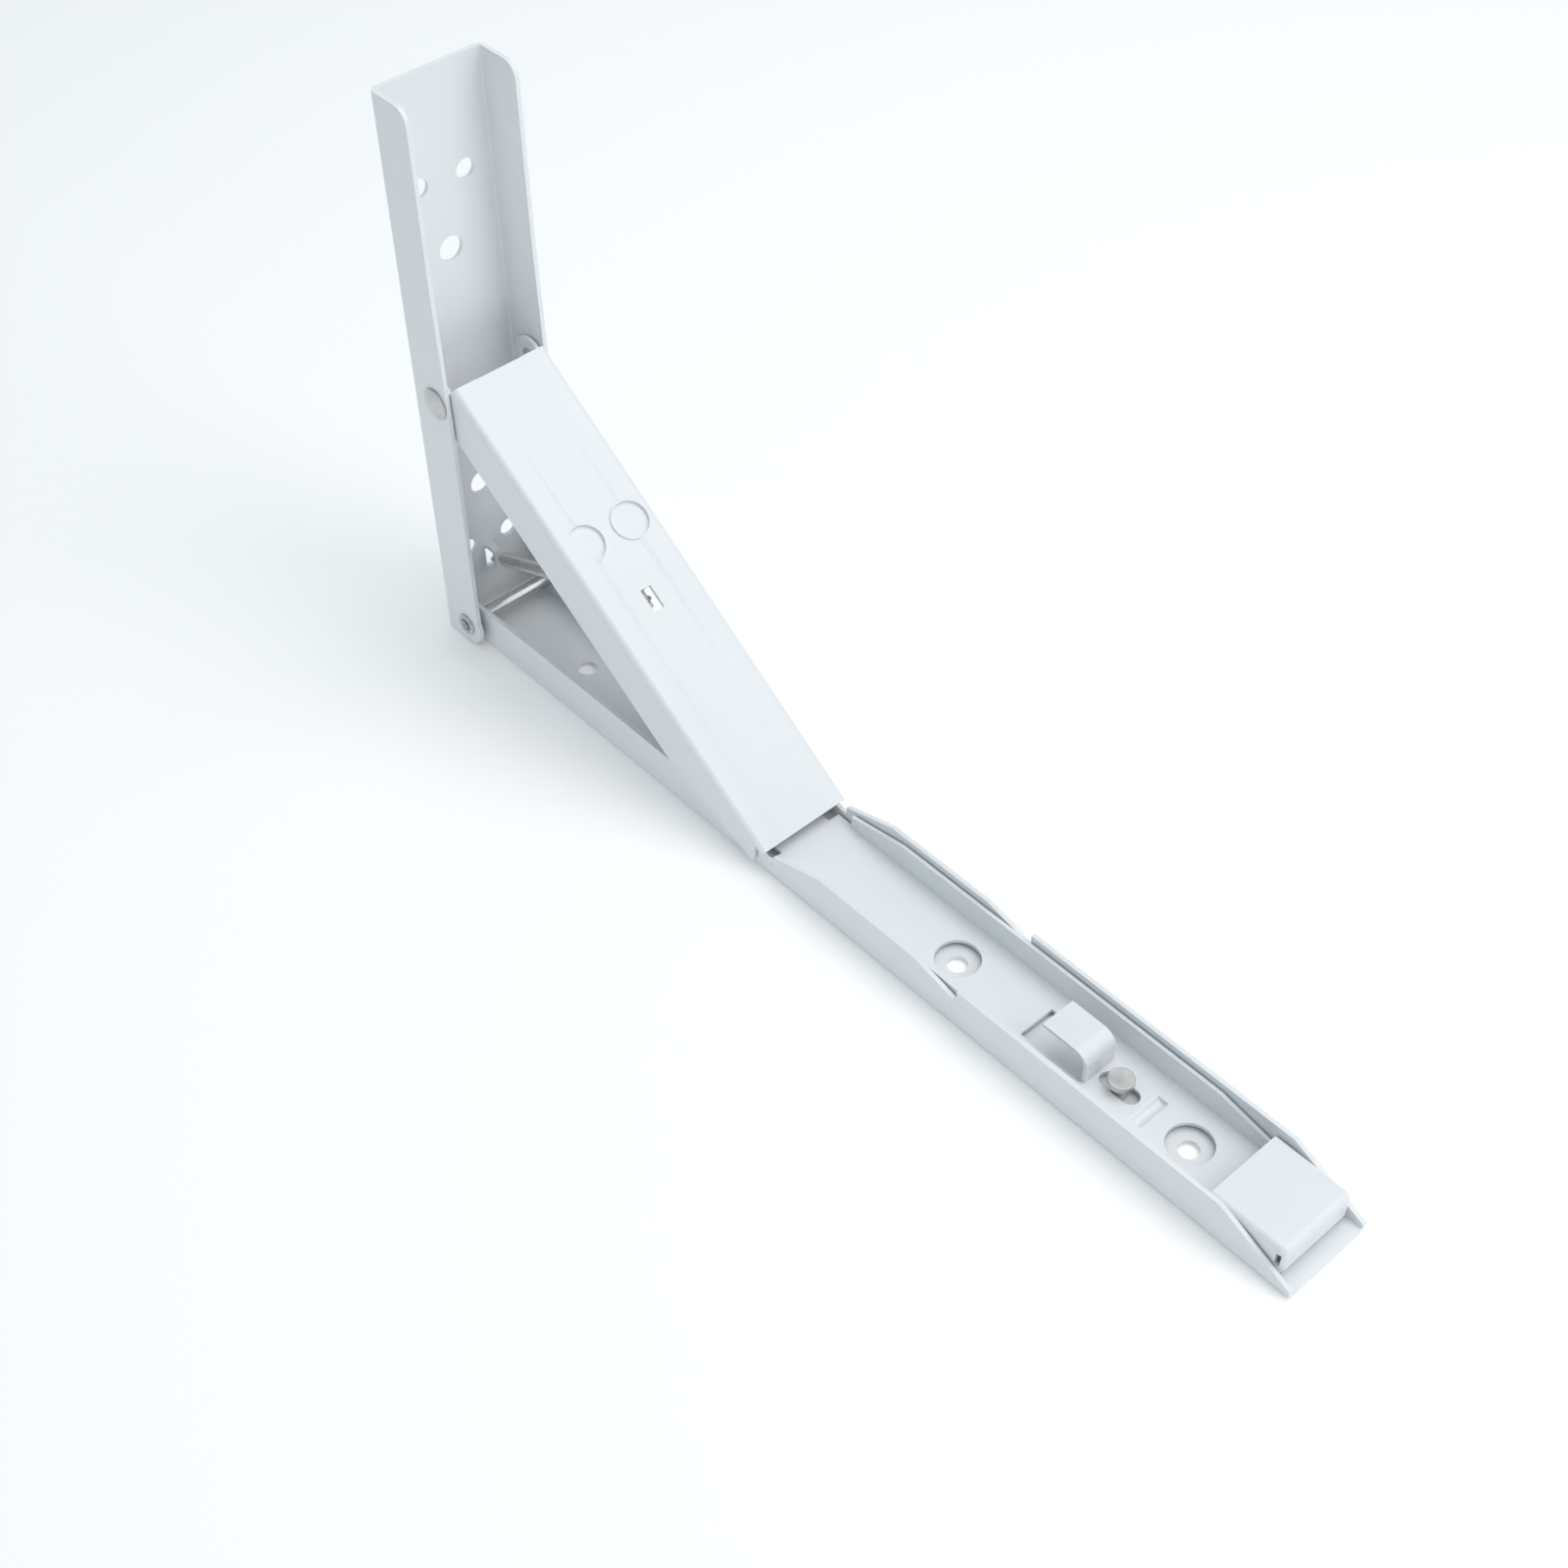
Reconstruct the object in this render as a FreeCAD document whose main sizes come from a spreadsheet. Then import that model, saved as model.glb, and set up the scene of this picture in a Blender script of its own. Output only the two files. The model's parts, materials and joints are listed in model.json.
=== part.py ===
import FreeCAD, Part
import math
import os
import re
import Sketcher

# Folding shelf bracket, opened out and lying on its arm, in millimetres.
# The shelf face of the arm is z = 0, x runs along the arm from under the hinge pin, and y is across.

SIZES = {
    # Heights and lengths along the wall plate, measured from the hinge pin's axis.
    "pin_height": 7.5,
    "plate_length": 194.5,
    "brace_pivot": 92.0,
    "lower_pair": 20.0,
    "lower_screw": 44.0,
    "middle_pair": 68.0,
    "upper_screw": 134.0,
    "upper_pair": 158.0,
    # Wall plate section and holes.
    "plate_width": 40.0,
    "plate_sheet": 1.5,
    "plate_back": 12.7,
    "plate_front": 5.0,
    "plate_cheek": 6.4,
    "plate_lobe": 7.3,
    "plate_bend": 2.5,
    "plate_corner": 5.0,
    "pair_spacing": 17.0,
    "pair_hole": 6.6,
    "screw_hole": 8.4,
    "hook_slot_low": 8.0,
    "hook_slot_high": 16.0,
    "hook_slot_width": 4.0,
    # Arm section and outline.
    "arm_beyond": 88.3,
    "arm_gap": 0.3,
    "arm_sheet": 1.5,
    "arm_flange_gap": 1.4,
    "arm_bend": 2.0,
    "arm_lobe": 6.9,
    "arm_tip_height": 3.2,
    "arm_start": 3.0,
    "arm_taper": 25.8,
    "arm_hole_near": 39.6,
    "arm_hole_middle": 50.2,
    "arm_hole_far": 40.0,
    "arm_hole": 6.4,
    "step_start": 53.5,
    "step_end": 35.4,
    "step_height": 11.0,
    "seat_gap": 3.0,
    "seat_engagement": 1.0,
    "seat_clearance": 1.9,
    # Brace, measured along its web from the rivets' axis.
    "brace_length": 173.0,
    "brace_side_gap": 0.1,
    "brace_sheet": 1.3,
    "brace_web_gap": 0.4,
    "brace_end_height": 9.1,
    "brace_depth": 17.5,
    "brace_tip_depth": 8.0,
    "brace_taper": 42.0,
    "brace_tip_relief": 3.5,
    "brace_bend": 2.2,
    "brace_lobe": 6.8,
    "brace_web_start": 1.5,
    "recess_width": 20.0,
    "recess_slope": 2.4,
    "recess_depth": 0.7,
    "dimple_place": 63.0,
    "dimple_spacing": 17.6,
    "dimple_size": 12.6,
    "dimple_depth": 1.2,
    "brace_hook": 83.8,
    # Release rail inside the arm.
    "rail_lead": 30.0,
    "rail_finger": 20.0,
    "rail_short": 4.8,
    "rail_gap": 0.5,
    "rail_sheet": 1.2,
    "rail_floor": 3.0,
    "rail_flange": 13.3,
    "rail_flange_clear": 7.0,
    "rail_flange_low": 9.0,
    "rail_ramp": 22.5,
    "rail_curve_start": 19.5,
    "rail_curve_height": 9.5,
    "rail_curve_end": 1.5,
    "rail_bend": 1.8,
    "rail_hole": 14.4,
    "window_start": 18.3,
    "window_end": 5.0,
    "window_width": 13.4,
    "tongue_side_gap": 0.5,
    "tongue_gap": 1.0,
    "tongue_length": 17.2,
    "tongue_bend": 5.0,
    "rib_place": 25.0,
    "rib_radius": 3.0,
    "rib_width": 14.5,
    "rib_gap": 0.05,
    "rib_bend": 1.0,
    "slot_length": 13.8,
    "slot_width": 5.8,
    "box_length": 26.0,
    "box_height": 13.8,
    "box_wall_drop": 7.0,
    "box_bend": 2.2,
    "box_slit": 1.6,
    # Pins and rivets.
    "pin_size": 5.0,
    "pin_bore": 3.4,
    "pin_head": 7.8,
    "pin_head_height": 0.8,
    "pin_mouth": 4.8,
    "running_gap": 0.05,
    "rivet_size": 6.0,
    "rivet_head": 10.8,
    "rivet_head_height": 1.3,
    "rivet_dome": 6.4,
    "washer_size": 11.0,
    "washer_sheet": 0.5,
    "stud_place": 14.0,
    "stud_size": 5.0,
    "stud_head": 8.0,
    "stud_head_low": 6.8,
    "stud_head_high": 8.8,
    # Tension spring and the tabs that hold it.
    "tab_width": 3.0,
    "tab_sheet": 1.2,
    "tab_reach": 4.6,
    "tab_length": 7.0,
    "coil_size": 4.8,
    "coil_bore": 3.2,
    "coil_wire": 0.8,
    "loop_size": 2.2,
    "hook_length": 4.2,
    "coil_end": 1.2,
}

# What fits inside another piece takes its width and height from that piece and a gap.
BRACE_BACK = "(plate_back - plate_sheet - brace_web_gap)"
BRACE_WIDTH = "(plate_width - 2 * (plate_sheet + washer_sheet + brace_side_gap))"
ARM_WIDTH = f"({BRACE_WIDTH} - 2 * (brace_sheet + arm_gap))"
ARM_FLANGE = f"(pin_height + {BRACE_BACK} - brace_sheet - arm_flange_gap)"
RAIL_WIDTH = f"({ARM_WIDTH} - 2 * (arm_sheet + rail_gap))"
TONGUE_TOP = f"(pin_height + {BRACE_BACK} - brace_sheet - recess_depth - tongue_gap)"

# Places along the arm follow the brace's end in the folded bracket, or the arm's own free end.
FOLDED_END = "(brace_pivot + brace_length)"
ARM_END = f"({FOLDED_END} + arm_beyond)"
RAIL_END = f"({ARM_END} - rail_short)"
BOX_START = f"({RAIL_END} - box_length)"
WINDOW_START = f"({FOLDED_END} - window_start)"
WINDOW_END = f"({FOLDED_END} + window_end)"
STUD_PLACE = f"({FOLDED_END} + stud_place)"
RIB_PLACE = f"({FOLDED_END} + rib_place)"
HOLE_MIDDLE = f"({FOLDED_END} - arm_hole_middle)"
HOLE_FAR = f"({FOLDED_END} + arm_hole_far)"

doc = FreeCAD.newDocument("folding_shelf_bracket")
sizes = doc.addObject("Spreadsheet::Sheet", "Sizes")
for row, (alias, number) in enumerate(SIZES.items(), start=1):
    sizes.set(f"A{row}", alias)
    sizes.set(f"B{row}", str(number))
    sizes.setAlias(f"B{row}", alias)
doc.recompute()


def size(alias):
    """The value of a driving dimension, read from the sheet."""
    return float(sizes.get(alias))


def bound(text):
    """The same expression with each alias written as a cell of the sheet."""
    def cell(word):
        return f"Sizes.{word.group()}" if word.group() in SIZES else word.group()

    return re.sub(r"[a-z_]+", cell, text)


def value(text):
    """The number that an expression of aliases stands for."""
    return float(sizes.evalExpression(text))


def new_body(label):
    body = doc.addObject("PartDesign::Body", label)
    body.Label = label
    return body


def new_sketch(body, name, plane):
    """An empty sketch on one of the body's own origin planes."""
    sketch = body.newObject("Sketcher::SketchObject", name)
    support = [item for item in body.Origin.OriginFeatures if item.Role == plane][0]
    sketch.AttachmentSupport = [(support, "")]
    sketch.MapMode = "FlatFace"
    return sketch


def pin_point(sketch, geometry, point, place):
    """Holds one point of a sketch at a place given as two expressions or numbers."""
    for kind, text in zip(("DistanceX", "DistanceY"), place):
        text = str(text)
        number = sketch.addConstraint(Sketcher.Constraint(kind, -1, 1, geometry, point, value(text)))
        sketch.setExpression(f"Constraints[{number}]", bound(text))


def polygon(body, name, plane, corners):
    """A closed outline with straight sides through the given corners."""
    sketch = new_sketch(body, name, plane)
    points = [FreeCAD.Vector(value(str(a)), value(str(b)), 0) for a, b in corners]
    count = len(points)
    for index, start in enumerate(points):
        sketch.addGeometry(Part.LineSegment(start, points[(index + 1) % count]), False)
    for index in range(count):
        sketch.addConstraint(Sketcher.Constraint("Coincident", index, 2, (index + 1) % count, 1))
    for index, corner in enumerate(corners):
        pin_point(sketch, index, 1, corner)
    return sketch


def rectangle(body, name, plane, low, high):
    corners = [low, (high[0], low[1]), high, (low[0], high[1])]
    return polygon(body, name, plane, corners)


def circles(body, name, plane, rounds):
    """Circles given as (first coordinate, second coordinate, diameter)."""
    sketch = new_sketch(body, name, plane)
    for index, (across, up, diameter) in enumerate(rounds):
        centre = FreeCAD.Vector(value(str(across)), value(str(up)), 0)
        radius = value(f"({diameter}) / 2")
        sketch.addGeometry(Part.Circle(centre, FreeCAD.Vector(0, 0, 1), radius), False)
        pin_point(sketch, index, 3, (across, up))
        number = sketch.addConstraint(Sketcher.Constraint("Diameter", index, 2 * radius))
        sketch.setExpression(f"Constraints[{number}]", bound(f"({diameter})"))
    return sketch


def extrude(body, kind, sketch, length, symmetric=True, backwards=False):
    """A Pad or a Pocket of a sketch, checked to have added or removed material."""
    before = body.Shape.Volume if not body.Shape.isNull() else 0.0
    feature = body.newObject(f"PartDesign::{kind}", f"{sketch.Name}_{kind.lower()}")
    feature.Profile = sketch
    feature.SideType = "Symmetric" if symmetric else "One side"
    feature.Reversed = backwards
    feature.setExpression("Length", bound(length))
    sketch.Visibility = False
    doc.recompute()
    change = body.Shape.Volume - before
    if not body.Shape.isValid():
        raise RuntimeError(f"{feature.Name} leaves {body.Label} invalid")
    if (change < 0) != (kind == "Pocket") or abs(change) < 0.01:
        raise RuntimeError(f"{feature.Name} changes the volume by {change:.3f}")
    return feature


def pad(body, sketch, length, **options):
    return extrude(body, "Pad", sketch, length, **options)


def pocket(body, sketch, length, **options):
    return extrude(body, "Pocket", sketch, length, **options)


def near(first, second, within=0.05):
    return abs(first - second) < within


def across(direction):
    """True for an edge that runs across the bracket."""
    return abs(direction.y) > 0.999


def straight(edge):
    """True for an edge that is as long as its ends are apart."""
    ends = [vertex.Point for vertex in edge.Vertexes]
    return len(ends) == 2 and near(ends[0].distanceToPoint(ends[1]), edge.Length, 1e-6)


def fillet(body, radius, wanted):
    """Rounds the straight edges whose centre and direction the test accepts."""
    tip = body.Tip
    names = []
    for number, edge in enumerate(tip.Shape.Edges, start=1):
        if not straight(edge):
            continue
        direction = edge.tangentAt(edge.FirstParameter)
        if wanted(edge.CenterOfMass, direction, edge.Length):
            names.append(f"Edge{number}")
    if not names:
        raise RuntimeError(f"no edge of {body.Label} fits the test")
    feature = body.newObject("PartDesign::Fillet", f"{body.Label}_fillet")
    feature.Base = (tip, names)
    feature.setExpression("Radius", bound(radius))
    doc.recompute()
    if not body.Shape.isValid():
        raise RuntimeError(f"a fillet of {radius} leaves {body.Label} invalid")
    return feature


def turned(point_x, point_z, degrees):
    """A point of the xz plane turned by an angle, positive from +z towards +x."""
    angle = math.radians(degrees)
    turned_x = point_x * math.cos(angle) + point_z * math.sin(angle)
    turned_z = point_z * math.cos(angle) - point_x * math.sin(angle)
    return turned_x, turned_z


def brace_angle():
    """How far the opened brace slopes, so that its end comes down to its height over the shelf face."""
    back = value(BRACE_BACK)
    drop = size("pin_height") + size("brace_pivot") - size("brace_end_height")
    reach = math.hypot(size("brace_length"), back)
    return math.degrees(math.asin(drop / reach) + math.atan2(back, size("brace_length")))


def brace_point(along, out, fold=0.0):
    """Where a point of the brace is, with the wall plate folded over by some degrees.

    along runs from the rivets to the brace's end, and out is how far the point stands off the rivets' axis.
    """
    pivot_x, pivot_z = turned(0.0, size("brace_pivot"), fold)
    slope = brace_angle() * (1 - fold / 90.0)
    offset_x, offset_z = turned(along, out, slope)
    return pivot_x + offset_x, size("pin_height") + pivot_z + offset_z


def make_wall_plate():
    """The channel that is screwed to the wall, with its web away from the arm."""
    body = new_body("wall_plate")
    top = "pin_height + plate_length"
    side = polygon(body, "plate_side", "XZ_Plane", [
        ("-plate_back", 0),
        (0, 0),
        ("plate_cheek", "pin_height"),
        ("plate_cheek", "pin_height + middle_pair"),
        ("plate_front", "pin_height + upper_screw"),
        ("plate_front", top),
        ("-plate_back", top),
    ])
    pad(body, side, "plate_width")
    lobe = circles(body, "plate_lobe_round", "XZ_Plane", [(0, "pin_height", "2 * plate_lobe")])
    pad(body, lobe, "plate_width")
    half = size("plate_width") / 2
    back = -size("plate_back")
    fillet(body, "plate_bend", lambda c, d, n: near(c.x, back) and near(abs(c.y), half) and abs(d.z) > 0.999)
    inside = rectangle(body, "plate_inside", "XZ_Plane",
                       ("plate_sheet - plate_back", -1), ("plate_back", f"{top} + 1"))
    pocket(body, inside, "plate_width - 2 * plate_sheet")
    inner = back + size("plate_sheet")
    inner_half = half - size("plate_sheet")
    fillet(body, "plate_bend - plate_sheet",
           lambda c, d, n: near(c.x, inner) and near(abs(c.y), inner_half) and abs(d.z) > 0.999)
    front = size("plate_front")
    height = size("pin_height") + size("plate_length")
    fillet(body, "plate_corner", lambda c, d, n: near(c.x, front) and near(c.z, height) and across(d))
    rounds = []
    for pair in ("lower_pair", "middle_pair", "upper_pair"):
        for sign in ("-", ""):
            rounds.append((f"{sign}pair_spacing / 2", f"pin_height + {pair}", "pair_hole"))
    for screw in ("lower_screw", "upper_screw"):
        rounds.append((0, f"pin_height + {screw}", "screw_hole"))
    pocket(body, circles(body, "plate_screw_holes", "YZ_Plane", rounds), "4 * plate_back")
    slot = rectangle(body, "plate_hook_slot", "YZ_Plane",
                     ("-hook_slot_width / 2", "pin_height + hook_slot_low"),
                     ("hook_slot_width / 2", "pin_height + hook_slot_high"))
    pocket(body, slot, "4 * plate_back")
    tab_face = "plate_sheet - plate_back + tab_reach"
    tab_top = "pin_height + hook_slot_high + tab_sheet"
    tab = polygon(body, "plate_tab", "XZ_Plane", [
        ("plate_sheet / 2 - plate_back", f"{tab_top} - tab_sheet"),
        (f"{tab_face} - tab_sheet", f"{tab_top} - tab_sheet"),
        (f"{tab_face} - tab_sheet", f"{tab_top} - tab_length"),
        (tab_face, f"{tab_top} - tab_length"),
        (tab_face, tab_top),
        ("plate_sheet / 2 - plate_back", tab_top),
    ])
    pad(body, tab, "tab_width")
    bores = circles(body, "plate_pin_holes", "XZ_Plane", [
        (0, "pin_height", "pin_size + 2 * running_gap"),
        (0, "pin_height + brace_pivot", "rivet_size"),
    ])
    pocket(body, bores, "2 * plate_width")
    return body


def seat_corners():
    """The notch that takes the brace's end, from the arm's free end towards the hinge.

    The notch's wall is as high as the brace's end clears when it leaves, and the slope after it follows
    the path of that end.
    """
    tip_out = value(BRACE_BACK)
    under_out = tip_out - size("brace_sheet")
    clearance = size("seat_clearance")
    tip_x, _ = brace_point(size("brace_length"), tip_out)
    under_x, under_z = brace_point(size("brace_length"), under_out)
    wall_x = tip_x + size("seat_gap")
    wall_top = under_z + size("seat_engagement")
    floor = under_z - clearance
    fold = 0.0
    path_x, path_z = under_x, under_z
    while path_z < value(ARM_FLANGE) + clearance:
        fold += 0.25
        path_x, path_z = brace_point(size("brace_length"), under_out, fold)
    slope_x = (value(ARM_FLANGE) - floor) / math.tan(math.radians(brace_angle()))
    return [
        (path_x, ARM_FLANGE),
        (wall_x, wall_top),
        (wall_x, floor),
        (under_x, floor),
        (under_x - slope_x, ARM_FLANGE),
    ]


def make_shelf_arm():
    """The channel that carries the shelf, lying on its web."""
    body = new_body("shelf_arm")
    side = polygon(body, "arm_side", "XZ_Plane", [
        ("-arm_start", 0),
        (ARM_END, 0),
        (ARM_END, "arm_tip_height"),
        (f"{ARM_END} - arm_taper", ARM_FLANGE),
        (f"{FOLDED_END} - step_end", ARM_FLANGE),
        (f"{FOLDED_END} - step_end", "step_height"),
        (f"{FOLDED_END} - step_start", ARM_FLANGE),
        *seat_corners(),
        (f"2 * {ARM_FLANGE}", ARM_FLANGE),
        (0, "pin_height + arm_lobe"),
        ("-arm_start", "pin_height"),
    ])
    pad(body, side, ARM_WIDTH)
    lobe = circles(body, "arm_lobe_round", "XZ_Plane", [(0, "pin_height", "2 * arm_lobe")])
    pad(body, lobe, ARM_WIDTH)
    half = value(ARM_WIDTH) / 2
    fillet(body, "arm_bend", lambda c, d, n: near(c.z, 0) and near(abs(c.y), half) and abs(d.x) > 0.999)
    inside = rectangle(body, "arm_inside", "XZ_Plane", ("-plate_back", "arm_sheet"),
                       (f"{ARM_END} + 1", f"2 * {ARM_FLANGE}"))
    pocket(body, inside, f"{ARM_WIDTH} - 2 * arm_sheet")
    under_lobe = rectangle(body, "arm_under_lobe", "XZ_Plane",
                           ("-plate_back", -1), ("-arm_start", "arm_sheet + 1"))
    pocket(body, under_lobe, f"{ARM_WIDTH} - 2 * arm_sheet")
    rounds = [(place, 0, "arm_hole") for place in ("arm_hole_near", HOLE_MIDDLE, HOLE_FAR)]
    rounds.append((STUD_PLACE, 0, "stud_size"))
    pocket(body, circles(body, "arm_web_holes", "XY_Plane", rounds), "4 * arm_sheet")
    bore = circles(body, "arm_pin_holes", "XZ_Plane", [(0, "pin_height", "pin_size")])
    pocket(body, bore, "2 * plate_width")
    return body


def press_recess(body):
    """Presses the long shallow recess into the brace's web, with sloped sides and both ends open."""
    top, bottom = "recess_width / 2", "(recess_width / 2 - recess_slope)"
    back = polygon(body, "brace_recess_back", "YZ_Plane", [
        (f"-{top}", "-brace_sheet / 2"),
        (f"-{top}", "-brace_sheet"),
        (f"-{bottom}", "-brace_sheet - recess_depth"),
        (bottom, "-brace_sheet - recess_depth"),
        (top, "-brace_sheet"),
        (top, "-brace_sheet / 2"),
    ])
    back.setExpression("AttachmentOffset.Base.z", bound("brace_web_start"))
    pad(body, back, "brace_length - brace_web_start", symmetric=False)
    front = polygon(body, "brace_recess_front", "YZ_Plane", [
        (f"-{top}", 0),
        (f"-{bottom}", "-recess_depth"),
        (bottom, "-recess_depth"),
        (top, 0),
    ])
    front.setExpression("AttachmentOffset.Base.z", bound("brace_web_start - 1"))
    pocket(body, front, "brace_length + 2", symmetric=False, backwards=True)


def press_dimples(body):
    """Presses the two round dimples: the sheet goes down and keeps about its thickness."""
    def dimples(name, grow):
        return circles(body, name, "XY_Plane", [
            ("dimple_place", f"{sign}dimple_spacing / 2", f"dimple_size + {grow}") for sign in ("-", "")
        ])

    pad(body, dimples("brace_dimples_back", "brace_sheet / 2"), "brace_sheet + dimple_depth",
        symmetric=False, backwards=True)
    pocket(body, dimples("brace_dimples_front", "0"), "dimple_depth", symmetric=False)


def make_brace():
    """The stay: x runs from the rivets to its end, and z = 0 is the outer face of its web."""
    body = new_body("brace")
    side = polygon(body, "brace_side", "XZ_Plane", [
        ("brace_web_start", 0),
        ("brace_length", 0),
        ("brace_length", "-brace_sheet"),
        ("brace_length - brace_tip_relief", "-brace_sheet"),
        ("brace_length", "-brace_tip_depth"),
        ("brace_length - brace_taper", "-brace_depth"),
        (0, "-brace_depth"),
    ])
    pad(body, side, BRACE_WIDTH)
    lobe = circles(body, "brace_lobe_round", "XZ_Plane", [(0, f"-{BRACE_BACK}", "2 * brace_lobe")])
    pad(body, lobe, BRACE_WIDTH)
    half = value(BRACE_WIDTH) / 2
    fillet(body, "brace_bend", lambda c, d, n: near(c.z, 0) and near(abs(c.y), half) and abs(d.x) > 0.999)
    inside = rectangle(body, "brace_inside", "XZ_Plane",
                       ("-plate_back", "-2 * brace_depth"), ("brace_length + 1", "-brace_sheet"))
    pocket(body, inside, f"{BRACE_WIDTH} - 2 * brace_sheet")

    press_recess(body)
    press_dimples(body)
    hook = "brace_hook"
    slot = rectangle(body, "brace_hook_slot", "XY_Plane",
                     (hook, "-hook_slot_width / 2"), (f"{hook} + tab_length + 1", "hook_slot_width / 2"))
    pocket(body, slot, "6 * brace_sheet")
    root = "-brace_sheet / 2 - recess_depth"
    drop = "-brace_sheet - recess_depth - tab_reach"
    tab = polygon(body, "brace_tab", "XZ_Plane", [
        (f"{hook} - tab_sheet", root),
        (hook, root),
        (hook, f"{drop} + tab_sheet"),
        (f"{hook} + tab_length - tab_sheet", f"{drop} + tab_sheet"),
        (f"{hook} + tab_length - tab_sheet", drop),
        (f"{hook} - tab_sheet", drop),
    ])
    pad(body, tab, "tab_width")
    bore = circles(body, "brace_rivet_holes", "XZ_Plane",
                   [(0, f"-{BRACE_BACK}", "rivet_size + 2 * running_gap")])
    pocket(body, bore, "2 * plate_width")
    origin_x, origin_z = brace_point(0.0, value(BRACE_BACK))
    turn = FreeCAD.Rotation(FreeCAD.Vector(0, 1, 0), brace_angle())
    body.Placement = FreeCAD.Placement(FreeCAD.Vector(origin_x, 0, origin_z), turn)
    return body


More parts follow.
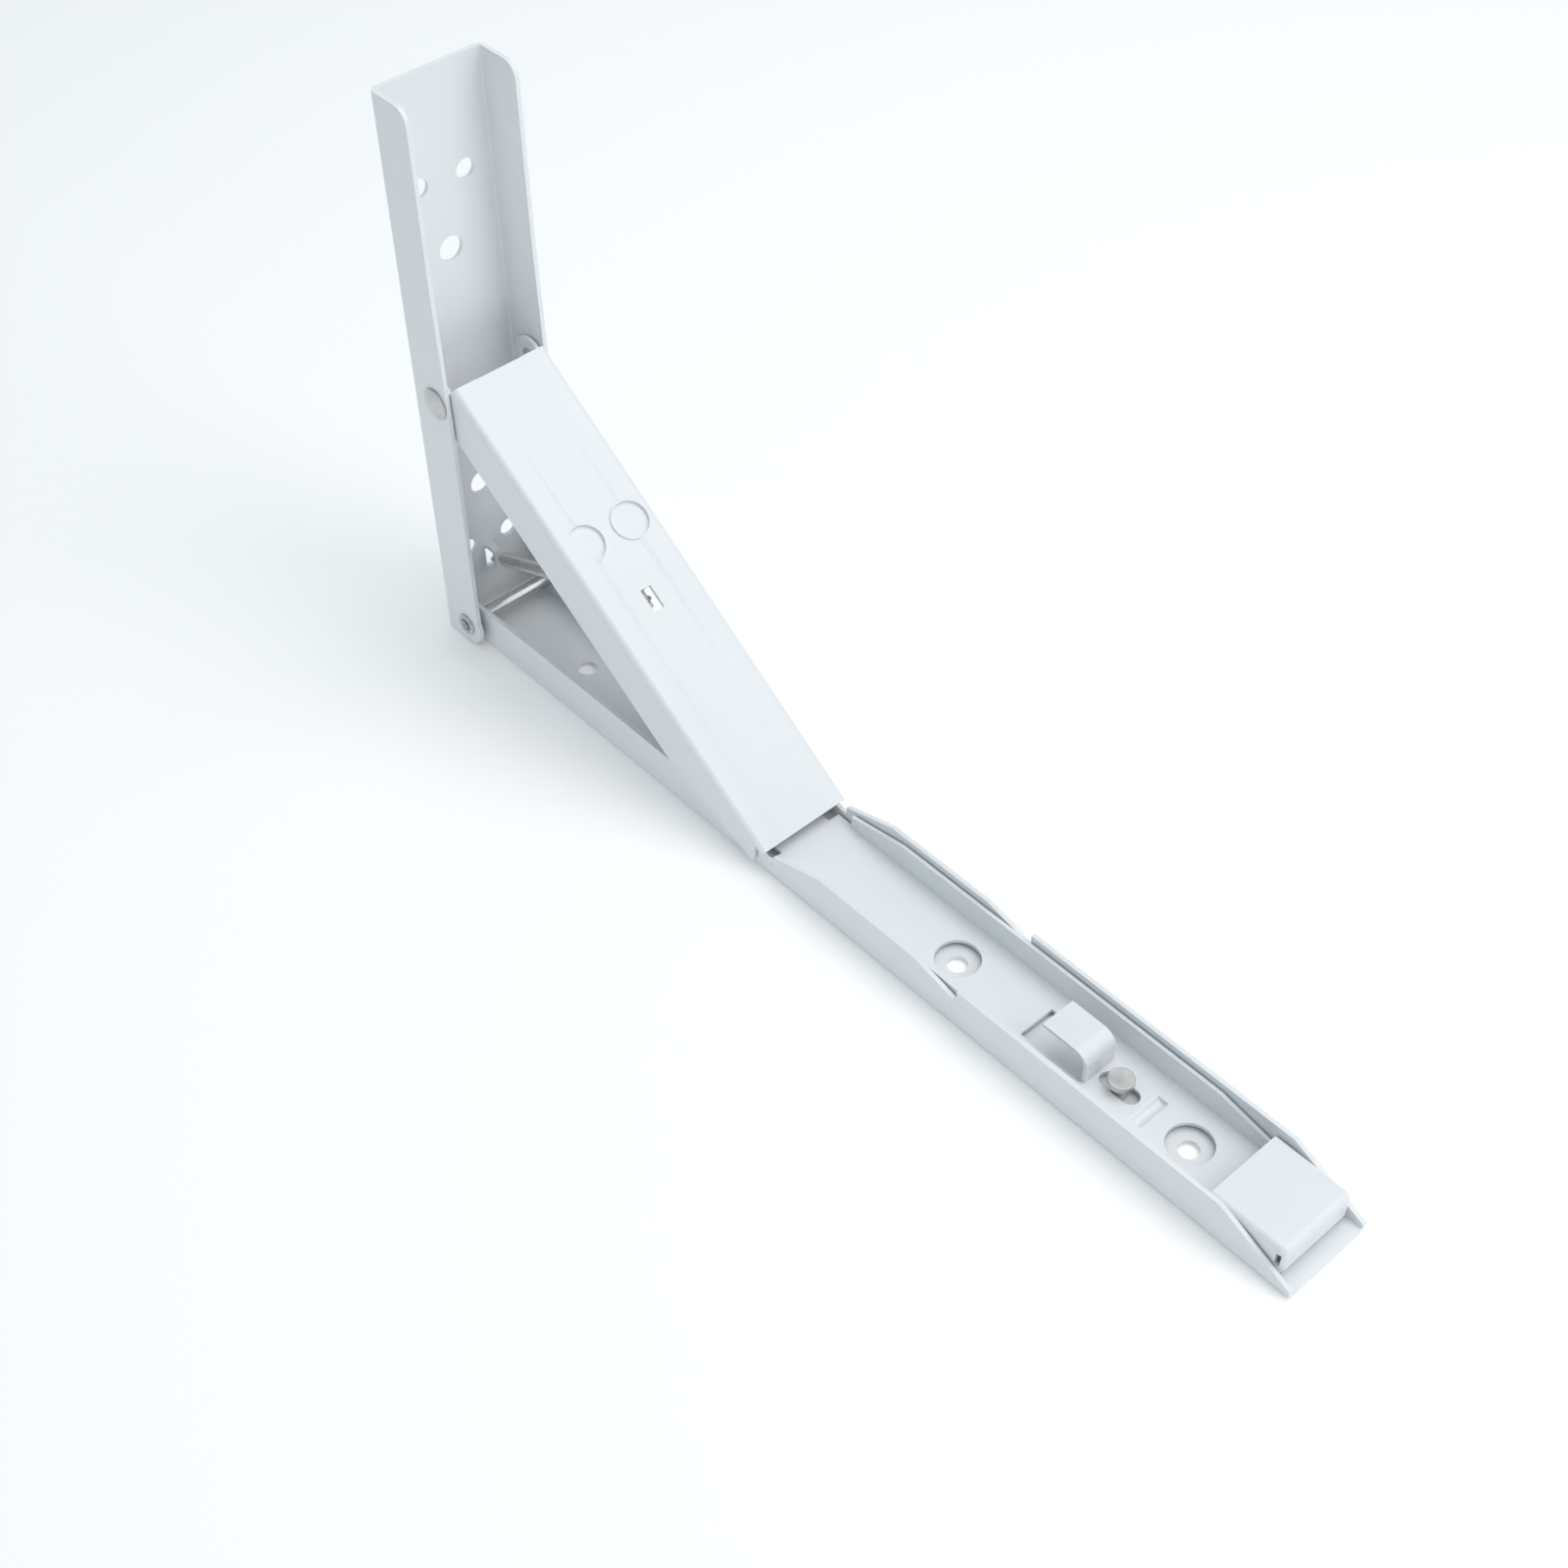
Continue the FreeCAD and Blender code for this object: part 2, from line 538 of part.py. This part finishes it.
def make_release_rail():
    """The folded lever inside the arm: it rocks on its rib when its raised end is pressed."""
    body = new_body("release_rail")
    top_of_web = "rail_floor + rail_sheet"
    brace_end, _ = brace_point(size("brace_length"), value(BRACE_BACK))
    start = f"{brace_end} - rail_lead"
    flange_start = f"{brace_end} + rail_flange_clear"
    side = polygon(body, "rail_side", "XZ_Plane", [
        (start, "rail_floor"),
        (RAIL_END, "rail_floor"),
        (RAIL_END, "box_height"),
        (BOX_START, "box_height"),
        (BOX_START, "box_height - rail_sheet"),
        (f"{BOX_START} - rail_curve_end", "rail_curve_height"),
        (f"{BOX_START} - rail_curve_start", "rail_flange"),
        (f"{flange_start} + rail_ramp", "rail_flange"),
        (flange_start, "rail_flange_low"),
        (flange_start, top_of_web),
        (start, top_of_web),
    ])
    pad(body, side, RAIL_WIDTH)
    half = value(RAIL_WIDTH) / 2
    end = value(RAIL_END)
    height = size("box_height")
    fillet(body, "rail_bend",
           lambda c, d, n: near(c.z, size("rail_floor")) and near(abs(c.y), half) and abs(d.x) > 0.999)
    fillet(body, "box_bend", lambda c, d, n: near(c.z, height) and near(abs(c.y), half) and abs(d.x) > 0.999)
    fillet(body, "box_bend", lambda c, d, n: near(c.z, height) and near(c.x, end) and across(d))
    inside = polygon(body, "rail_inside", "XZ_Plane", [
        (f"{start} - 1", top_of_web),
        (f"{RAIL_END} - rail_sheet", top_of_web),
        (f"{RAIL_END} - rail_sheet", "box_height - rail_sheet"),
        (BOX_START, "box_height - rail_sheet"),
        (BOX_START, "2 * box_height"),
        (f"{start} - 1", "2 * box_height"),
    ])
    pocket(body, inside, f"{RAIL_WIDTH} - 2 * rail_sheet")
    for sign in ("-", ""):
        beside = rectangle(body, "rail_beside_finger", "XY_Plane", (f"{start} - 1", f"{sign}rail_finger / 2"),
                           (brace_end, f"{sign}plate_width / 2"))
        pocket(body, beside, "3 * rail_floor")
    slits = rectangle(body, "box_slits", "XZ_Plane",
                      (f"{RAIL_END} - rail_sheet - box_slit", "box_height - box_wall_drop"),
                      (f"{RAIL_END} - rail_sheet", "box_height - box_bend"))
    pocket(body, slits, "2 * plate_width")
    window = rectangle(body, "rail_window", "XY_Plane",
                       (WINDOW_START, "-window_width / 2"), (WINDOW_END, "window_width / 2"))
    pocket(body, window, "3 * rail_floor")
    tongue = polygon(body, "rail_tongue", "XZ_Plane", [
        (f"{WINDOW_END} + rail_sheet - tongue_length", TONGUE_TOP),
        (f"{WINDOW_END} + rail_sheet", TONGUE_TOP),
        (f"{WINDOW_END} + rail_sheet", "rail_floor"),
        (WINDOW_END, "rail_floor"),
        (WINDOW_END, f"{TONGUE_TOP} - rail_sheet"),
        (f"{WINDOW_END} + rail_sheet - tongue_length", f"{TONGUE_TOP} - rail_sheet"),
    ])
    pad(body, tongue, "window_width - 2 * tongue_side_gap")
    inner = value(WINDOW_END)
    crest = inner + size("rail_sheet")
    peak = value(TONGUE_TOP)
    fillet(body, "tongue_bend - rail_sheet",
           lambda c, d, n: near(c.x, inner) and near(c.z, peak - size("rail_sheet")) and across(d))
    fillet(body, "tongue_bend", lambda c, d, n: near(c.x, crest) and near(c.z, peak) and across(d))
    rounds = [(place, 0, "rail_hole") for place in (HOLE_MIDDLE, HOLE_FAR)]
    pocket(body, circles(body, "rail_clear_holes", "XY_Plane", rounds), "3 * rail_floor")
    half_slot = "(slot_length - slot_width) / 2"
    slot_rounds = [(f"{STUD_PLACE} {sign} {half_slot}", 0, "slot_width") for sign in ("-", "+")]
    pocket(body, circles(body, "rail_slot_ends", "XY_Plane", slot_rounds), "3 * rail_floor")
    slot = rectangle(body, "rail_slot", "XY_Plane",
                     (f"{STUD_PLACE} - {half_slot}", "-slot_width / 2"),
                     (f"{STUD_PLACE} + {half_slot}", "slot_width / 2"))
    pocket(body, slot, "3 * rail_floor")
    rib_height = "arm_sheet + rib_gap + rib_radius"
    rib = circles(body, "rail_rib", "XZ_Plane", [(RIB_PLACE, rib_height, "2 * rib_radius")])
    pad(body, rib, "rib_width")
    hollow = circles(body, "rail_rib_hollow", "XZ_Plane",
                     [(RIB_PLACE, rib_height, "2 * (rib_radius - rail_sheet)")])
    pocket(body, hollow, "rib_width - 2 * rail_sheet")
    above = rectangle(body, "rail_rib_top", "XZ_Plane",
                      (f"{RIB_PLACE} - rib_radius", top_of_web), (f"{RIB_PLACE} + rib_radius", "rail_flange"))
    pocket(body, above, "rib_width")
    middle, mouth_z = value(RIB_PLACE), value(top_of_web)
    inner_radius = size("rib_radius") - size("rail_sheet")
    half_mouth = math.sqrt(inner_radius ** 2 - (value(rib_height) - mouth_z) ** 2)
    fillet(body, "rib_bend",
           lambda c, d, n: near(c.z, mouth_z) and near(abs(c.x - middle), half_mouth) and across(d))
    return body


def revolved(label, corners, place):
    """A round piece about an axis across the bracket: corners are (distance along y, radius)."""
    body = new_body(label)
    outline = polygon(body, f"{label}_outline", "XY_Plane", [(radius, along) for along, radius in corners])
    feature = body.newObject("PartDesign::Revolution", f"{label}_turned")
    feature.Profile = outline
    feature.ReferenceAxis = (outline, ["V_Axis"])
    feature.Angle = 360
    body.Placement = FreeCAD.Placement(FreeCAD.Vector(*place), FreeCAD.Rotation())
    return body


def make_hinge_pin():
    """The tubular pin, pressed into the arm and rolled over outside the wall plate."""
    head_in = "plate_width / 2 + running_gap"
    head_out = f"{head_in} + pin_head_height"
    corners = [
        (f"-({head_out})", "pin_mouth / 2"),
        (f"-({head_out})", "pin_head / 2 - pin_head_height / 2"),
        (f"-({head_in} + pin_head_height / 2)", "pin_head / 2"),
        (f"-({head_in})", "pin_head / 2"),
        (f"-({head_in})", "pin_size / 2"),
        (head_in, "pin_size / 2"),
        (head_in, "pin_head / 2"),
        (f"{head_in} + pin_head_height / 2", "pin_head / 2"),
        (head_out, "pin_head / 2 - pin_head_height / 2"),
        (head_out, "pin_mouth / 2"),
        (f"{head_in} - pin_head_height", "pin_bore / 2"),
        (f"-({head_in} - pin_head_height)", "pin_bore / 2"),
    ]
    return revolved("hinge_pin", corners, (0, 0, size("pin_height")))


def make_brace_rivet(label, side):
    """One rivet of the brace, with its domed head outside the wall plate."""
    face = f"{side} * plate_width / 2"
    rim = f"{side} * (plate_width / 2 + rivet_head_height / 2)"
    crown = f"{side} * (plate_width / 2 + rivet_head_height)"
    shank_end = f"{side} * ({BRACE_WIDTH} / 2 - brace_sheet)"
    corners = [
        (shank_end, 0),
        (shank_end, "rivet_size / 2"),
        (face, "rivet_size / 2"),
        (face, "rivet_head / 2"),
        (rim, "rivet_head / 2"),
        (crown, "rivet_dome / 2"),
        (crown, 0),
    ]
    return revolved(label, corners, (0, 0, size("pin_height") + size("brace_pivot")))


def make_brace_washer(label, side):
    """One thin washer between the brace and the wall plate, pressed onto the rivet."""
    outer = f"{side} * (plate_width / 2 - plate_sheet)"
    inner = f"{side} * (plate_width / 2 - plate_sheet - washer_sheet)"
    corners = [
        (inner, "rivet_size / 2"),
        (outer, "rivet_size / 2"),
        (outer, "washer_size / 2"),
        (inner, "washer_size / 2"),
    ]
    return revolved(label, corners, (0, 0, size("pin_height") + size("brace_pivot")))


def make_rail_rivet():
    """The shouldered rivet that keeps the rail in the arm, standing in the rail's slot."""
    body = new_body("rail_rivet")
    shank = circles(body, "rail_rivet_shank", "XY_Plane", [(STUD_PLACE, 0, "stud_size")])
    pad(body, shank, "stud_head_low", symmetric=False)
    head = circles(body, "rail_rivet_head", "XY_Plane", [(STUD_PLACE, 0, "stud_head")])
    head.setExpression("AttachmentOffset.Base.z", bound("stud_head_low"))
    pad(body, head, "stud_head_high - stud_head_low", symmetric=False)
    return body


def wire_ring(body, name, centre):
    """A ring of wire about an upright axis, with an eight-sided section."""
    across_flats = "coil_wire / 2"
    corner = "coil_wire * 0.2071"
    middle = f"{centre} + loop_size"
    steps = (
        (across_flats, corner), (corner, across_flats),
        (f"-{corner}", across_flats), (f"-{across_flats}", corner),
        (f"-{across_flats}", f"-{corner}"), (f"-{corner}", f"-{across_flats}"),
        (corner, f"-{across_flats}"), (across_flats, f"-{corner}"),
    )
    section = polygon(body, name, "XZ_Plane", [(f"{middle} + {step_x}", step_z) for step_x, step_z in steps])
    low, high = FreeCAD.Vector(centre, -1, 0), FreeCAD.Vector(centre, 1, 0)
    section.addGeometry(Part.LineSegment(low, high), True)
    feature = body.newObject("PartDesign::Revolution", f"{name}_turned")
    feature.Profile = section
    feature.ReferenceAxis = (section, ["Axis0"])
    feature.Angle = 360
    doc.recompute()


def make_tension_spring():
    """The closed coil between the two tabs, as a tube with a ring of wire at each end."""
    body = new_body("tension_spring")
    tab_x = value("plate_sheet - plate_back + tab_reach - tab_sheet / 2")
    low = FreeCAD.Vector(tab_x, 0, value("pin_height + hook_slot_high - tab_length / 3"))
    tab_out = value(f"{BRACE_BACK} - brace_sheet - recess_depth - tab_reach + tab_sheet / 2")
    high_x, high_z = brace_point(value("brace_hook + tab_length / 3"), tab_out)
    high = FreeCAD.Vector(high_x, 0, high_z)
    reach = (high - low).Length
    inset = size("hook_length")
    bore_inset = inset + size("coil_end")
    wire_ring(body, "loop_low", 0)
    wire_ring(body, "loop_high", reach)
    necks = circles(body, "loop_necks", "YZ_Plane", [(0, 0, "0.9 * coil_wire")])
    necks.setExpression("AttachmentOffset.Base.z", bound("loop_size"))
    pad(body, necks, f"{reach} - 2 * loop_size", symmetric=False)
    tube = circles(body, "coil_outside", "YZ_Plane", [(0, 0, "coil_size")])
    tube.setExpression("AttachmentOffset.Base.z", str(inset))
    pad(body, tube, str(reach - 2 * inset), symmetric=False)
    hollow = circles(body, "coil_inside", "YZ_Plane", [(0, 0, "coil_bore")])
    hollow.setExpression("AttachmentOffset.Base.z", str(bore_inset))
    pocket(body, hollow, str(reach - 2 * bore_inset), symmetric=False, backwards=True)
    turn = FreeCAD.Rotation(FreeCAD.Vector(1, 0, 0), high - low)
    body.Placement = FreeCAD.Placement(low, turn)
    return body


def check(items):
    """Stops on a failed object or a shape that is not one valid solid."""
    for item in doc.Objects:
        if "Invalid" in item.State or "Error" in item.State:
            raise RuntimeError(f"{item.Name} is {item.State}")
    for item in items:
        shape = item.Shape
        if shape.isNull() or not shape.isValid() or len(shape.Solids) != 1:
            raise RuntimeError(f"{item.Label} is not one valid solid: {len(shape.Solids)}")


def main():
    pieces = [
        make_wall_plate(),
        make_shelf_arm(),
        make_brace(),
        make_release_rail(),
        make_hinge_pin(),
        make_brace_rivet("brace_rivet_left", -1),
        make_brace_rivet("brace_rivet_right", 1),
        make_brace_washer("brace_washer_left", -1),
        make_brace_washer("brace_washer_right", 1),
        make_rail_rivet(),
        make_tension_spring(),
    ]
    doc.recompute()
    check(pieces)
    os.makedirs("parts", exist_ok=True)
    for piece in pieces:
        piece.Shape.exportStep(f"parts/{piece.Label}.step")
        box = piece.Shape.BoundBox
        print(f"{piece.Label}: x {box.XMin:.2f} to {box.XMax:.2f}, y {box.YMin:.2f} to {box.YMax:.2f}, "
              f"z {box.ZMin:.2f} to {box.ZMax:.2f}, volume {piece.Shape.Volume:.0f}")


main()
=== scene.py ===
import json
import math

import bmesh
import bpy
from mathutils import Matrix, Vector

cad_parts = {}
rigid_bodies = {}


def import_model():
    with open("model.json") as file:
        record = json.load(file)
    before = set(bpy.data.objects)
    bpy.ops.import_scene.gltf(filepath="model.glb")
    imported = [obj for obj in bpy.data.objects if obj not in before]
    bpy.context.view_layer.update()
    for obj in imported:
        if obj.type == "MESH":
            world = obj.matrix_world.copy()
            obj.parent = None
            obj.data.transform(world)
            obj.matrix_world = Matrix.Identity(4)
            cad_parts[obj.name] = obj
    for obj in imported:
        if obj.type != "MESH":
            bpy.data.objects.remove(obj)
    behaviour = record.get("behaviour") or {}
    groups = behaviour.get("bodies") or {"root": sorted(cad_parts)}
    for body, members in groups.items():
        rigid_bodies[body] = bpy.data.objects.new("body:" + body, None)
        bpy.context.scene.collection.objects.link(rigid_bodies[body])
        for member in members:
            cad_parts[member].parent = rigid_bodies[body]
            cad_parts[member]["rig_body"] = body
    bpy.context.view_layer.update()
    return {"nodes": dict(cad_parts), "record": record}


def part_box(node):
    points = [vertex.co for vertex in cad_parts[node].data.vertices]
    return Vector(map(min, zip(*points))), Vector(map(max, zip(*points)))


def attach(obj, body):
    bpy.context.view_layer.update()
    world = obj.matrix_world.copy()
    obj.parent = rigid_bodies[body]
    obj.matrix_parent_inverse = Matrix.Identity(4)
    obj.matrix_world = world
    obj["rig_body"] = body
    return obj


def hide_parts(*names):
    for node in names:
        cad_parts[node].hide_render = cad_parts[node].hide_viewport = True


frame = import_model()

MM = 0.001

# The camera stands in front of the bracket's free end, above it and on its near side.
CAMERA_PLACE = (0.50481, -0.32811, 0.53103)
CAMERA_RIGHT = (0.6725, 0.7401, -0.0073)
CAMERA_UP = (-0.5295, 0.4880, 0.6938)
CAMERA_BACK = (0.5170, -0.4627, 0.7201)
CAMERA_LENS = 52.69
CAMERA_CLIP_START = 0.01
SENSOR = 36.0

# Colours and strengths
COAT_COLOUR = (0.83, 0.843, 0.865, 1)
COAT_SHADE = (0.795, 0.813, 0.835, 1)
STEEL_COLOUR = (0.70, 0.695, 0.68, 1)
STEEL_DARK = (0.44, 0.44, 0.43, 1)
FLOOR_COLOUR = (1.0, 1.0, 1.0, 1)
FLOOR_GLOW = (1.0, 0.86, 0.84, 1)
FLOOR_GLOW_STRENGTH = 0.09
LIGHT_COLOUR = (1.0, 0.955, 0.935)
SKY_COLOUR = (0.82, 0.95, 1.0, 1)
SKY_STRENGTH = 0.54

# The surroundings, in metres
FLOOR_SIZE = 8.0
FLOOR_CELLS = 8
FLOOR_DROP = 0.0002
LIGHT_AIM = (0.16, 0, 0.04)

# How a solid's mesh is cleaned and its edges are softened, in millimetres and degrees
MERGE_DISTANCE = 0.002
FLAT_ANGLE = 0.6
SHARP_ANGLE = 35
EDGE_SEGMENTS = 2
SHEET_EDGE = 0.22
PIN_EDGE = 0.12
RIVET_EDGE = 0.25
WASHER_EDGE = 0.08

# The spring's wire, in millimetres and degrees
COIL_TURNS = 60
STEPS_PER_TURN = 18
COIL_RADIUS = 2.0
WIRE_RADIUS = 0.4
WIRE_ROUNDNESS = 2
WIRE_SMOOTH_ANGLE = 60
HOOK_RADIUS = 2.1
HOOK_LENGTH = 4.2
HOOK_STEPS = 12

# Sockets of a colour mix, whose names aren't unique
MIX_FACTOR = 0
MIX_FIRST = 6
MIX_SECOND = 7
MIX_RESULT = 2


# Materials

class Wire:
    """One socket of a material, which can be added to a number and multiplied by one."""

    def __init__(self, paint, socket):
        self.paint = paint
        self.socket = socket

    def maths(self, operation, number):
        return self.paint.add("ShaderNodeMath", {"operation": operation}, {0: number, 1: self})

    def __radd__(self, number):
        return self.maths("ADD", number)

    def __rmul__(self, number):
        return self.maths("MULTIPLY", number)


class Paint:
    """A material under construction."""

    def __init__(self, name):
        self.material = bpy.data.materials.new(name)
        self.material.use_nodes = True
        self.tree = self.material.node_tree
        self.surface = self.tree.nodes["Principled BSDF"]

    def add(self, kind, settings=None, sockets=None, output=0):
        """One node, with its settings made first and its sockets then set or linked."""
        node = self.tree.nodes.new(kind)
        for key, setting in (settings or {}).items():
            setattr(node, key, setting)
        for key, given in (sockets or {}).items():
            self.feed(node.inputs[key], given)
        return Wire(self, node.outputs[output])

    def feed(self, socket, given):
        if isinstance(given, Wire):
            self.tree.links.new(given.socket, socket)
        else:
            socket.default_value = given

    def finish(self, **sockets):
        """Sets or links the surface's own sockets, written with underscores for spaces."""
        for key, given in sockets.items():
            self.feed(self.surface.inputs[key.replace("_", " ")], given)
        return self.material

    def place(self):
        return self.add("ShaderNodeTexCoord", output="Object")

    def noise(self, scale, detail=2.0, roughness=0.5):
        sockets = {"Vector": self.place(), "Scale": scale, "Detail": detail, "Roughness": roughness}
        return self.add("ShaderNodeTexNoise", sockets=sockets)

    def blend(self, factor, first, second):
        """A colour between two others."""
        sockets = {MIX_FACTOR: factor, MIX_FIRST: first, MIX_SECOND: second}
        return self.add("ShaderNodeMix", {"data_type": "RGBA"}, sockets, output=MIX_RESULT)

    def bump(self, height, strength, distance):
        sockets = {"Height": height, "Strength": strength, "Distance": distance}
        return self.add("ShaderNodeBump", sockets=sockets)


def powder_coat():
    """White powder coat over sheet steel: a fine orange peel and a faint unevenness in colour and gloss."""
    paint = Paint("white_powder_coat")
    cloud = paint.noise(scale=35.0, detail=3.0)
    peel = paint.noise(scale=1400.0, roughness=0.6)
    colour = paint.blend(cloud, COAT_SHADE, COAT_COLOUR)
    bump = paint.bump(peel, strength=0.10, distance=0.00012)
    return paint.finish(Base_Color=colour, Roughness=0.30 + 0.12 * cloud, Normal=bump, Coat_Weight=0.25,
                        Coat_Roughness=0.18)


def plated_steel():
    """Plated steel of the pins, the rivets and the spring: a fine grain and duller patches."""
    paint = Paint("plated_steel")
    patches = paint.noise(scale=260.0, detail=3.0)
    grain = paint.noise(scale=2600.0, roughness=0.7)
    colour = paint.blend(patches, STEEL_DARK, STEEL_COLOUR)
    bump = paint.bump(grain, strength=0.25, distance=0.0001)
    return paint.finish(Base_Color=colour, Metallic=1.0, Roughness=0.24 + 0.2 * patches, Normal=bump)


def matt_floor():
    paint = Paint("pale_floor")
    grain = paint.noise(scale=9.0)
    return paint.finish(Base_Color=FLOOR_COLOUR, Roughness=0.75 + 0.1 * grain,
                        Emission_Color=FLOOR_GLOW, Emission_Strength=FLOOR_GLOW_STRENGTH)


# Pieces

def add_object(name, data):
    """A new object at the origin, in the scene."""
    made = bpy.data.objects.new(name, data)
    bpy.context.scene.collection.objects.link(made)
    return made


def make_piece(name, mesh, material):
    """A new object that has one material."""
    mesh.materials.clear()
    mesh.materials.append(material)
    return add_object(name, mesh)


def select_only(piece):
    bpy.ops.object.select_all(action="DESELECT")
    piece.select_set(True)
    bpy.context.view_layer.objects.active = piece


def apply_modifier(piece, modifier):
    select_only(piece)
    bpy.ops.object.modifier_apply(modifier=modifier.name)


def smooth(piece, degrees):
    select_only(piece)
    bpy.ops.object.shade_smooth_by_angle(angle=math.radians(degrees))


def clean_mesh(mesh):
    """Merges a mesh's doubled points and joins its faces that lie in one plane."""
    shape = bmesh.new()
    shape.from_mesh(mesh)
    bmesh.ops.remove_doubles(shape, verts=shape.verts, dist=MERGE_DISTANCE * MM)
    bmesh.ops.dissolve_limit(shape, angle_limit=math.radians(FLAT_ANGLE), verts=shape.verts, edges=shape.edges)
    shape.to_mesh(mesh)
    shape.free()


def pressed_copy(node, name, material, edge):
    """A clean copy of a solid's mesh whose sharp edges are softened by a width in millimetres."""
    solid = frame["nodes"][node]
    mesh = solid.data.copy()
    piece = make_piece(name, mesh, material)
    clean_mesh(mesh)
    bevel = piece.modifiers.new("soft_edges", "BEVEL")
    bevel.width = edge * MM
    bevel.segments = EDGE_SEGMENTS
    bevel.limit_method = "ANGLE"
    bevel.angle_limit = math.radians(SHARP_ANGLE)
    bevel.use_clamp_overlap = True
    apply_modifier(piece, bevel)
    smooth(piece, SHARP_ANGLE)
    flat = piece.modifiers.new("flat_faces", "WEIGHTED_NORMAL")
    flat.keep_sharp = True
    apply_modifier(piece, flat)
    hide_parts(node)
    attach(piece, solid["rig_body"])


def hook_points(centre, ahead):
    """A hook's line, in millimetres: round behind its tab from one side to the other, and a little way back.

    The coil lies ahead of the hook, at 1 along the spring's line or at -1 against it.
    """
    points = []
    for step in range(HOOK_STEPS + 1):
        angle = math.pi * (0.5 + step / HOOK_STEPS)
        points.append((centre + ahead * HOOK_RADIUS * math.cos(angle), HOOK_RADIUS * math.sin(angle), 0))
    points.append((centre + ahead * HOOK_RADIUS / 2, -HOOK_RADIUS, 0))
    return points


def spring_points(reach):
    """The spring's line, in millimetres: a hook, the closed coil and a hook whose centre is at the reach."""
    steps = COIL_TURNS * STEPS_PER_TURN
    length = reach - 2 * HOOK_LENGTH
    points = hook_points(0, 1)[::-1]
    for step in range(steps + 1):
        angle = 2 * math.pi * step / STEPS_PER_TURN
        place = HOOK_LENGTH + length * step / steps
        points.append((place, COIL_RADIUS * math.cos(angle), COIL_RADIUS * math.sin(angle)))
    return points + hook_points(reach, -1)


def wire_mesh(points):
    """A round wire with closed ends, along points in metres."""
    curve = bpy.data.curves.new("coil_line", "CURVE")
    curve.dimensions = "3D"
    curve.bevel_depth = WIRE_RADIUS * MM
    curve.bevel_resolution = WIRE_ROUNDNESS
    curve.use_fill_caps = True
    line = curve.splines.new("POLY")
    line.points.add(len(points) - 1)
    for point, place in zip(line.points, points):
        point.co = (*place, 1)
    holder = add_object("coil_holder", curve)
    bpy.context.view_layer.update()
    mesh = bpy.data.meshes.new_from_object(holder)
    bpy.data.objects.remove(holder)
    return mesh


def coil_spring(material):
    """The closed coil with an open hook at each end, between the plate's tab and the brace's tab."""
    low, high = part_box("tension_spring")
    joints = frame["record"]["behaviour"]["joints"]
    pivot = [Vector(joint["pos_m"]) for joint in joints if joint["name"] == "spring_swing"][0]
    # The ends are alike, so the two hooks lie opposite each other about the middle of the box.
    far = Vector((high[0] + low[0] - pivot[0], 0, high[2] + low[2] - pivot[2]))
    along = (far - pivot).normalized()
    reach = (far - pivot).length / MM
    side = Vector((0, 1, 0))
    up = along.cross(side)
    places = [pivot + (along * x + side * y + up * z) * MM for x, y, z in spring_points(reach)]
    piece = make_piece("coil_spring", wire_mesh(places), material)
    smooth(piece, WIRE_SMOOTH_ANGLE)
    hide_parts("tension_spring")
    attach(piece, "spring")


# Surroundings

def add_camera():
    data = bpy.data.cameras.new("photo_camera")
    data.sensor_width = SENSOR
    data.lens = CAMERA_LENS
    data.clip_start = CAMERA_CLIP_START
    camera = add_object("photo_camera", data)
    axes = Matrix((CAMERA_RIGHT, CAMERA_UP, CAMERA_BACK)).transposed()
    camera.matrix_world = Matrix.Translation(CAMERA_PLACE) @ axes.to_4x4()
    bpy.context.scene.camera = camera


def add_light(name, place, width, power):
    """A soft square light that is aimed at the bracket."""
    data = bpy.data.lights.new(name, "AREA")
    data.shape = "SQUARE"
    data.size = width
    data.energy = power
    data.color = LIGHT_COLOUR
    light = add_object(name, data)
    light.location = place
    light.rotation_euler = (Vector(LIGHT_AIM) - Vector(place)).to_track_quat("-Z", "Y").to_euler()


def add_floor(material):
    bpy.ops.mesh.primitive_grid_add(x_subdivisions=FLOOR_CELLS, y_subdivisions=FLOOR_CELLS, size=FLOOR_SIZE,
                                    location=(0, 0, -FLOOR_DROP))
    floor = bpy.context.object
    floor.name = "floor"
    floor.data.materials.append(material)


def add_sky():
    world = bpy.data.worlds.new("studio")
    world.use_nodes = True
    background = world.node_tree.nodes["Background"]
    background.inputs["Color"].default_value = SKY_COLOUR
    background.inputs["Strength"].default_value = SKY_STRENGTH
    bpy.context.scene.world = world


def add_surroundings():
    add_floor(matt_floor())
    add_sky()
    add_light("soft_top", place=(0.35, 0.25, 1.3), width=1.2, power=8)
    add_light("soft_end", place=(1.2, 0.5, 0.8), width=0.9, power=4)
    add_light("soft_left", place=(-1.0, 0.6, 1.1), width=0.9, power=1.2)
    bpy.context.scene.view_settings.view_transform = "Standard"


def main():
    white = powder_coat()
    steel = plated_steel()
    for node in ("wall_plate", "shelf_arm", "brace", "release_rail"):
        pressed_copy(node, f"{node}_coated", white, SHEET_EDGE)
    pressed_copy("hinge_pin", "hinge_pin_plated", steel, PIN_EDGE)
    for node in ("brace_rivet_left", "brace_rivet_right", "rail_rivet"):
        pressed_copy(node, f"{node}_plated", steel, RIVET_EDGE)
    for side in ("left", "right"):
        pressed_copy(f"brace_washer_{side}", f"washer_{side}", steel, WASHER_EDGE)
    coil_spring(steel)
    add_surroundings()
    add_camera()


main()
